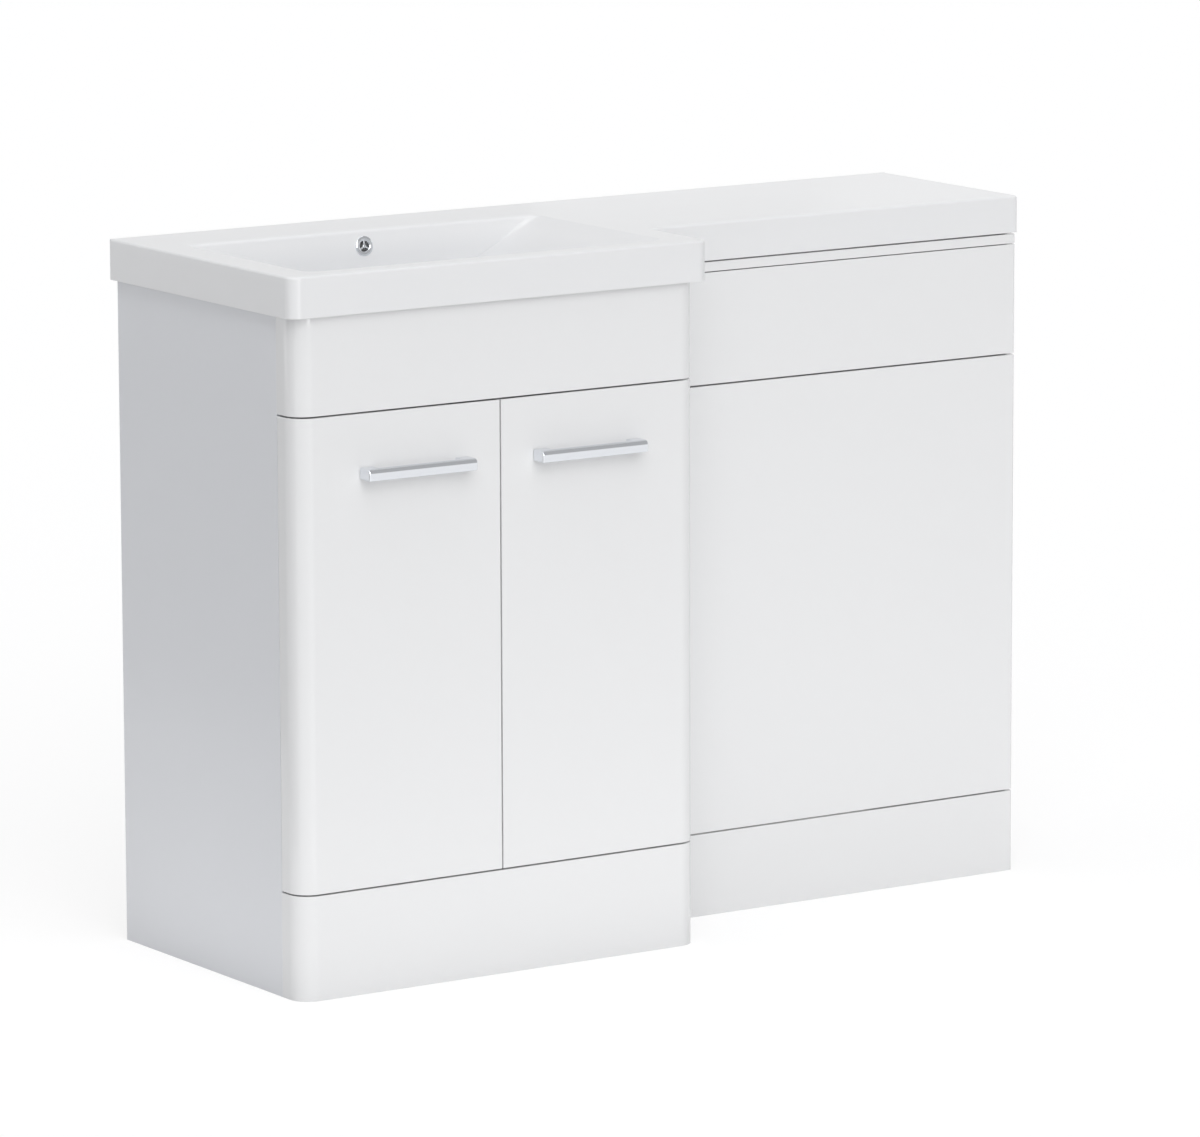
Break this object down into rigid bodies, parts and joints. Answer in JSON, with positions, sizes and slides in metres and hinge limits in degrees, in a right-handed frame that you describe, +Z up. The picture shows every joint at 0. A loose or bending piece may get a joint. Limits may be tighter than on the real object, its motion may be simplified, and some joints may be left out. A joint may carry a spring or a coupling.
{
  "type": "toilet and basin combination unit",
  "caption": "White L-shaped bathroom furniture run: two-door basin cabinet with moulded bowl beside a shallower housing for a back-to-wall toilet.",
  "frame": {"origin": "on the floor under the middle of the whole outline", "axes": "+X along the front towards the toilet housing, +Y towards the wall, +Z up"},
  "size_m": [1.112, 0.422, 0.84],
  "materials": {
    "gloss_front": "white high-gloss foil on fibreboard",
    "gloss_board": "white gloss faced board",
    "white_board": "white melamine faced board",
    "cast_top": "white gloss gel coat on cast mineral resin",
    "chrome": "polished",
    "nickel_steel": "nickel plated",
    "timber": "sawn softwood",
    "plastic": "moulded",
    "clear_buffer": "clear soft",
    "rubber": "black moulded"
  },
  "bodies": {
    "carcass": {"basin_gable_left": "gloss_board", "basin_gable_right": "gloss_board", "basin_floor_board": "white_board", "basin_front_rail": "white_board", "basin_back_rail_upper": "white_board", "basin_back_rail_lower": "white_board", "basin_shelf": "white_board", "shelf_pins": "nickel_steel", "basin_fascia": "gloss_front", "fascia_blocks": "timber", "basin_plinth": "gloss_front", "door_buffers": "clear_buffer", "hinge_arms_left": "nickel_steel", "hinge_arms_right": "nickel_steel", "hinge_plates": "nickel_steel", "hinge_plate_screws": "nickel_steel", "wc_gable_left": "gloss_board", "wc_gable_right": "gloss_board", "wc_top_rail": "white_board", "wc_middle_rail": "white_board", "wc_back_rail_upper": "white_board", "wc_back_rail_lower": "white_board", "wc_lipping": "gloss_front", "service_panel_sockets": "plastic", "wc_lower_panel": "gloss_front", "wc_plinth": "gloss_front", "cam_locks": "nickel_steel", "cam_bolts": "nickel_steel", "carcass_joining_bolts": "nickel_steel", "wall_brackets": "nickel_steel", "bracket_screws": "nickel_steel", "worktop_pads": "plastic", "basin_top": "cast_top", "overflow_ring": "chrome", "waste_body": "chrome", "waste_seal": "rubber", "waste_nut": "plastic"},
    "door_left": {"door_left": "gloss_front", "handle_left": "chrome", "handle_screws_left": "nickel_steel", "hinge_cups_left": "nickel_steel"},
    "door_right": {"door_right": "gloss_front", "handle_right": "chrome", "handle_screws_right": "nickel_steel", "hinge_cups_right": "nickel_steel"},
    "arm_links_left": {"hinge_arm_links_left": "nickel_steel"},
    "arm_links_right": {"hinge_arm_links_right": "nickel_steel"},
    "cup_links_left": {"hinge_cup_links_left": "nickel_steel"},
    "cup_links_right": {"hinge_cup_links_right": "nickel_steel"},
    "service_panel": {"wc_service_panel": "gloss_front", "service_panel_studs": "plastic"},
    "waste_plug": {"waste_plug": "chrome"}
  },
  "joints": [
    {"name": "left_door_swing", "type": "hinge", "parent": "carcass", "child": "door_left", "pos_m": [-0.546, -0.149, 0.4], "axis": [0, 0, -1], "range_deg": [0, 95]},
    {"name": "right_door_swing", "type": "hinge", "parent": "carcass", "child": "door_right", "pos_m": [0.004, -0.149, 0.4], "axis": [0, 0, 1], "range_deg": [0, 95]},
    {"name": "left_arm_link_turn", "type": "hinge", "parent": "carcass", "child": "arm_links_left", "pos_m": [-0.522, -0.14, 0.4], "axis": [0, 0, -1], "range_deg": [0, 95]},
    {"name": "right_arm_link_turn", "type": "hinge", "parent": "carcass", "child": "arm_links_right", "pos_m": [-0.02, -0.14, 0.4], "axis": [0, 0, 1], "range_deg": [0, 95]},
    {"name": "left_cup_link_turn", "type": "hinge", "parent": "door_left", "child": "cup_links_left", "pos_m": [-0.52, -0.153, 0.4], "axis": [0, 0, 1], "range_deg": [0, 95]},
    {"name": "right_cup_link_turn", "type": "hinge", "parent": "door_right", "child": "cup_links_right", "pos_m": [-0.022, -0.153, 0.4], "axis": [0, 0, -1], "range_deg": [0, 95]},
    {"name": "service_panel_pull", "type": "slide", "parent": "carcass", "child": "service_panel", "axis": [0, -1, 0], "range_m": [0, 0.06]},
    {"name": "waste_plug_lift", "type": "slide", "parent": "carcass", "child": "waste_plug", "axis": [0, 0, 1], "range_m": [0, 0.008]}
  ],
  "couplings": [
    {"joint": "left_arm_link_turn", "follows": "left_door_swing", "ratio": 1},
    {"joint": "right_arm_link_turn", "follows": "right_door_swing", "ratio": 1},
    {"joint": "left_cup_link_turn", "follows": "left_door_swing", "ratio": 1},
    {"joint": "right_cup_link_turn", "follows": "right_door_swing", "ratio": 1}
  ]
}
